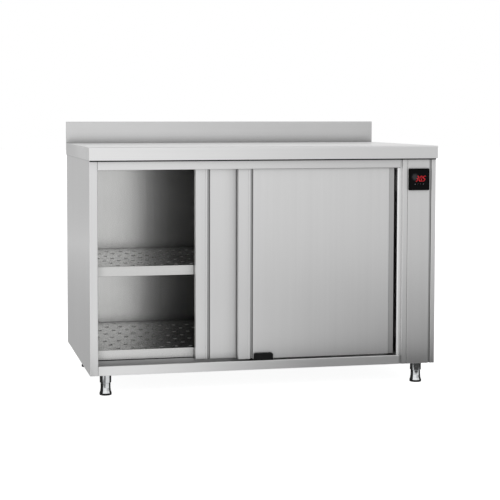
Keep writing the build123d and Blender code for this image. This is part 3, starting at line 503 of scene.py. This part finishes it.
# Turned-in edge of the control panel, in the groove beside the right-hand post, in a greyer copy of the steel
# as painted shade
panel_low, panel_high = in_mm(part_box("control_panel"))
turned_in = [(0.2, 2.0), (6.6, 3.4), (6.6, 4.2), (0.2, 2.9)]
solid_of("control_panel_edge",
         *strip(turned_in, (panel_high[0], front_y), Z, panel_low[2] + 1, panel_high[2] - 1),
         edge_channel, "cabinet", "stainless")
# Edge channels on the set-back right-hand edges of the doors, and linings at the bottom of their grooves, in
# a greyer copy of the steel as painted shade
CHANNEL, LINING = rectangle(-17.0, 4.4, -0.4, 5.05), rectangle(42.3, 10.3, 49.2, 10.95)
for door in ("right_door", "left_door"):
    low, high = in_mm(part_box(door + "_skin"))
    bottom, top = low[2] + 0.5, high[2] - 0.5
    solid_of(door + "_edge_channel", *strip(CHANNEL, (high[0], low[1]), Z, bottom, top), edge_channel, door,
             "stainless")
    solid_of(door + "_groove_lining", *strip(LINING, (low[0], low[1]), Z, bottom, top), edge_channel, door,
             "stainless")

# Dark strip under the worktop's front fold, from side panel to side panel: painted shadow under the fold's
# overhang
fold_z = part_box("worktop")[0][2] / MM
side_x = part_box("right_side_panel")[1][0] / MM
shadow_strip_section = [(-1.6, -0.3), (-1.2, -4.0), (0.1, -4.6), (0.1, -0.3)]
solid_of("worktop_shadow_strip", *strip(shadow_strip_section, (front_y, fold_z), X, FIT - side_x, side_x - FIT),
         finishes["stop_rubber"], "cabinet", "stop_rubber")
# Plate that closes the back of the door channel, from the left-hand post to the doors' guide, in a darker
# copy of the steel as painted shade
floor_low = in_mm(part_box("floor_panel"))[0]
guide_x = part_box("bottom_guide")[0][0] / MM
leaning = [(-4.4, 2.2), (-3.8, 2.2), (-1.2, 21.2), (-1.8, 21.2)]
solid_of("channel_back_plate",
         *strip(leaning, (floor_low[1], floor_low[2]), X, floor_low[0] + 1.4, guide_x - 1.5),
         channel_painted_shade, "cabinet", "stainless")


def rim(hole, wide, high, count=12):
    """Rolled edge of a hole: a ring of four-sided section with its inner foot 1.9 mm down in the hole, its
    outer foot on the sheet and a flat crest 1 mm wide."""
    t = np.arange(count) * 2 * np.pi / count
    ring = [(hole, -1.9), (wide, 0.0), (hole + 1.5, high), (hole + 0.5, high)]
    points = np.stack([np.column_stack([r * np.cos(t), r * np.sin(t), np.full(count, z)]) for r, z in ring])
    j = np.arange(count)
    after = (j + 1) % count
    faces = []
    for i in range(4):
        a, b = i * count, (i + 1) % 4 * count
        faces += [tuple(f) for f in np.stack([a + j, a + after, b + after, b + j], 1)]
    return points.reshape(-1, 3), faces


# Rolled rims round the shelves' holes, at the pitch of the punching: each row is a quarter pitch further left
HOLE_PITCH, ROW_PITCH, MARGIN, RUNNER, LAST_HOLE = 50.0, 75.0, 32.0, 20.0, 14.0
pressed_rim = cast_metal("stainless_pressed_rim", "#cfcfcf", "#c2c2c2", 0.36, 0.0012, 1.0)
for shelf in ("middle_shelf", "lower_shelf"):
    low, high = in_mm(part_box(shelf))
    places = []
    for j in range(int((high[1] - low[1] - 2 * MARGIN) / ROW_PITCH) + 1):
        shift = HOLE_PITCH / 2 - (j * HOLE_PITCH / 4) % HOLE_PITCH
        xs = np.arange(low[0] + RUNNER + MARGIN + shift, high[0] - RUNNER - LAST_HOLE, HOLE_PITCH)
        places += [(px, low[1] + MARGIN + j * ROW_PITCH, high[2]) for px in xs]
    solid_of(shelf + "_rims", *repeated(*rim(hole=4.0, wide=7.6, high=0.9), places), pressed_rim, shelf,
             "stainless_lining", smooth=60)

# Domed blind rivets on the back
rivet = lathe([(0, -0.4), (3.4, -0.4), (3.5, 0.0), (3.3, 0.6), (2.6, 1.2), (1.3, 1.5), (1.1, 1.35),
               (0, 1.5)], 20)
face_back = [[1, 0, 0], [0, 0, 1], [0, -1, 0]]      # the form's top looks along +Y
FROM_SIDE, FROM_BOTTOM, COLUMN_LOW, COLUMN_HIGH, ROW_END = 9.0, 12.0, 105, 760, 500
column_x = side_x - FROM_SIDE
flange_y, back_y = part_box("left_side_panel")[1][1] / MM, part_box("back_panel")[1][1] / MM
row_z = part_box("base_pan")[0][2] / MM + FROM_BOTTOM
columns = [(side * column_x, flange_y, z) for side in (-1, 1)
           for z in np.linspace(COLUMN_LOW, COLUMN_HIGH, 6)]
row = [(x, back_y, row_z) for x in np.linspace(-ROW_END, ROW_END, 7)]
solid_of("back_rivets", *repeated(*rivet, columns + row, face_back), finishes["aluminium"], "cabinet",
         "aluminium", smooth=35)

# Sole ring of each levelling foot, a hair above the ground and wider than the foot
FOOT_RADIUS, SOLE_HEIGHT, CHAMFER = 20.0, 7.2, 0.6
narrow, full = FOOT_RADIUS - 0.1, FOOT_RADIUS + 0.3
sole = lathe([(0, 0.0), (narrow, 0.0), (full, CHAMFER), (full, SOLE_HEIGHT - CHAMFER),
              (narrow, SOLE_HEIGHT), (0, SOLE_HEIGHT)], 40)
for corner in ("front_left", "front_right", "back_left", "back_right"):
    low, high = in_mm(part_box("foot_" + corner))
    spot = ((low[0] + high[0]) / 2, (low[1] + high[1]) / 2, low[2] + 0.05)
    solid_of("foot_sole_" + corner, *repeated(*sole, [spot]), finishes["black_plastic"], "foot_" + corner,
             "black_plastic", smooth=40)

# Pan-head screws on the duct cover, one in each corner
screw = lathe([(0, -0.4), (3.9, -0.4), (4.0, 0.0), (3.9, 0.5), (3.4, 1.3), (2.4, 1.8), (1.1, 1.9), (0.8, 0.9),
               (0, 0.9)], 24)
face_left = [[0, 0, -1], [0, 1, 0], [1, 0, 0]]      # the form's top looks along -X
INSET = 14.0
duct_low, duct_high = in_mm(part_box("duct_cover"))
corners = [(duct_low[0], y, z) for y in (duct_low[1] + INSET, duct_high[1] - INSET)
           for z in (duct_low[2] + INSET, duct_high[2] - INSET)]
solid_of("duct_screws", *repeated(*screw, corners, face_left), finishes["polished_steel"], "cabinet",
         "polished_steel", smooth=35)

# Studio
scene = bpy.context.scene
scene.view_settings.view_transform = "Standard"


def shown_white(tree):
    """1 for camera, glossy and transmitted rays, 0 for the light that falls on matt surfaces."""
    path = add(tree, "LightPath")
    seen = maths(tree, "MAXIMUM", path.outputs["Is Camera Ray"], path.outputs["Is Glossy Ray"])
    return maths(tree, "MAXIMUM", seen, path.outputs["Is Transmission Ray"])


# White surroundings: full to the camera and in reflections, dimmer as a light on matt surfaces
world = bpy.data.worlds.new("studio")
world.use_nodes = True
scene.world = world
air = world.node_tree
air.nodes.clear()
ambient = add(air, "Background", {"Color": (1, 1, 1, 1), "Strength": 0.62})
white = add(air, "Background", {"Color": (1, 1, 1, 1), "Strength": 1.0})
sky = add(air, "MixShader", {0: shown_white(air), 1: ambient.outputs[0], 2: white.outputs[0]})
air.links.new(sky.outputs[0], add(air, "OutputWorld").inputs["Surface"])


def white_floor(name):
    """Seamless paper: near white with a soft shadow to the camera, an even light grey in the metal's
    reflections, and plain paper to the light that it sends back."""
    material, tree, out, place = finish(name)
    speckle = noise(tree, place, 30.0, 2.0)
    matt = add(tree, "BsdfDiffuse", {"Color": ramp(tree, speckle, [(0.3, "#b9b9b9"), (0.7, "#bcbcbc")])})
    glow = add(tree, "Emission", {"Strength": 0.93})
    lifted = add(tree, "AddShader", {0: matt.outputs[0], 1: glow.outputs[0]})
    even = add(tree, "Emission", {"Strength": 0.82})
    plain = add(tree, "BsdfDiffuse", {"Color": linear("#e6e6e6")})
    seen = add(tree, "MixShader", {0: shown_white(tree), 1: plain.outputs[0], 2: even.outputs[0]})
    direct = add(tree, "LightPath").outputs["Is Camera Ray"]
    shown = add(tree, "MixShader", {0: direct, 1: seen.outputs[0], 2: lifted.outputs[0]})
    tree.links.new(shown.outputs[0], out.inputs["Surface"])
    return material


def lying(x0, y0, x1, y1, z):
    """Corners of a level sheet in metres."""
    return [(x, y, z) for x, y in rectangle(x0, y0, x1, y1)]


def standing(a, b, z0, z1):
    """Corners of an upright sheet in metres, from the point a to the point b of the ground plan."""
    return [(*a, z0), (*b, z0), (*b, z1), (*a, z1)]


def card(name, corners, material):
    """Flat sheet between four corners in metres, with u along its foot and v up its side."""
    mesh = bpy.data.meshes.new(name)
    mesh.from_pydata(corners, [], [(0, 1, 2, 3)])
    uv = mesh.uv_layers.new(name="card")
    uv.data.foreach_set("uv", np.array(rectangle(0, 0, 1, 1), float).ravel())
    mesh.materials.append(material)
    made = bpy.data.objects.new(name, mesh)
    scene.collection.objects.link(made)
    return made


card("floor", lying(-30, -30, 30, 30, 0), white_floor("studio_floor"))


def flag(name, corners, tone, edges):
    """Grey flag that only shows in the metal's reflections, fading out over a share of its width at each
    side: left, right, bottom and top."""
    look, tree, out, _ = finish(name + "_cloth")
    spot = add(tree, "SeparateXYZ", {"Vector": add(tree, "UVMap", uv_map="card").outputs[0]})
    cover = None
    for axis, border, share in zip((0, 0, 1, 1), (0.0, 1.0, 0.0, 1.0), edges):
        if share:
            ends = {"From Min": border, "From Max": share if border == 0.0 else 1.0 - share}
            fade = add(tree, "MapRange", {"Value": spot.outputs[axis], **ends},
                       interpolation_type="SMOOTHSTEP").outputs[0]
            cover = fade if cover is None else maths(tree, "MULTIPLY", cover, fade)
    grey = add(tree, "Emission", {"Color": (tone, tone, tone, 1), "Strength": 1.0})
    clear = add(tree, "BsdfTransparent")
    mixed = add(tree, "MixShader", {0: cover, 1: clear.outputs[0], 2: grey.outputs[0]})
    tree.links.new(mixed.outputs[0], out.inputs["Surface"])
    made = card(name, corners, look)
    made.visible_camera = made.visible_diffuse = made.visible_shadow = made.visible_transmission = False


# What each flag darkens: right parts of the doors and the control panel
flag("flag_right", standing((0.3, -6.5), (9.0, -3.0), -0.2, 3.0), 0.60, (0.25, 0, 0, 0.5))
# The fronts, more and more towards their foot
flag("flag_floor", lying(-0.35, -5.5, 4.5, -0.36, 0.01), 0.31, (0.28, 0, 0.8, 0.02))
# The bottom rail and the doors' foot, from the middle to the right
flag("flag_near", lying(-0.45, -1.0, 2.2, -0.40, 0.012), 0.06, (0.30, 0.1, 0.55, 0.05))
# The front left-hand leg
flag("flag_leg", lying(-0.72, -0.95, -0.55, -0.36, 0.012), 0.25, (0.1, 0.1, 0.05, 0.05))
# The back panel and, blurred, the worktop
flag("flag_back", standing((-6, 5), (6, 5), -0.1, 1.6), 0.50, (0.1, 0.1, 0, 0.4))
# The foot of the left side panel
flag("flag_left", lying(-2.2, -0.2, -0.6, 4.8, 0.01), 0.42, (0.3, 0, 0, 0.1))
# The legs and the underside: painted shade, a dark card standing for the shaded floor under the cupboard in
# their reflections
flag("flag_under", lying(-0.72, -0.32, 0.80, 0.5, 0.006), 0.06, (0.12, 0.12, 0.02, 0.1))
# The outlines of each leg: painted shade, dark cards round the back of it that stand for the shade under the
# cupboard in its reflection
OUTER_X, INNER_X = 0.599, 0.433
FRONT_Y, BACK_Y = (-0.342, -0.204), (0.236, 0.098)      # of the legs in front and behind: outer, inner
GROUND, UNDERSIDE = 0.001, 0.062
for side, (y_out, y_in) in ((-1, FRONT_Y), (1, BACK_Y)):
    for hand in (-1, 1):
        x_out, x_in = hand * OUTER_X, hand * INNER_X
        shade_cards = {"back": ((x_out, y_in), (x_in, y_in)), "outer": ((x_out, y_out), (x_out, y_in)),
                    "inner": ((x_in, y_out), (x_in, y_in))}
        for part, (a, b) in shade_cards.items():
            flag("flag_leg_%s_%d_%d" % (part, side, hand), standing(a, b, GROUND, UNDERSIDE), 0.03,
                 (0, 0, 0, 0.1))
# The worktop's upper face
flag("flag_over", lying(-2.5, -3.5, 2.5, 2.5, 3.2), 0.62, (0.2, 0.2, 0.2, 0.2))


def soft_light(name, place, aim, size, watts):
    """Square area lamp at a place, looking at a point."""
    lamp = bpy.data.lights.new(name, "AREA")
    lamp.shape, lamp.size, lamp.energy = "SQUARE", size, watts
    made = bpy.data.objects.new(name, lamp)
    scene.collection.objects.link(made)
    z = np.array(place, float) - np.array(aim, float)
    z /= np.linalg.norm(z)
    x = np.cross((0, 0, 1), z)
    x /= np.linalg.norm(x)
    y = np.cross(z, x)
    made.matrix_world = Matrix(np.vstack([np.column_stack([x, y, z, place]), [0, 0, 0, 1]]).tolist())
    return made


key = soft_light("key_light", (-2.6, -3.4, 3.6), (0, 0, 0.4), 3.2, 70)
key.visible_glossy = False

# Camera: the photograph's view, from the left of the middle, a little above the worktop
PITCH_DOWN, TURN_RIGHT = 0.05685, 0.20694
lens = bpy.data.cameras.new("camera")
lens.sensor_width, lens.lens = 36.0, 94.87
lens.shift_x, lens.shift_y = 0.10, -0.12
lens.clip_end = 100
camera = bpy.data.objects.new("camera", lens)
camera.location = (-1.12473, -4.59839, 0.92496)
camera.rotation_euler = (math.pi / 2 - PITCH_DOWN, 0, -TURN_RIGHT)
scene.collection.objects.link(camera)
scene.camera = camera
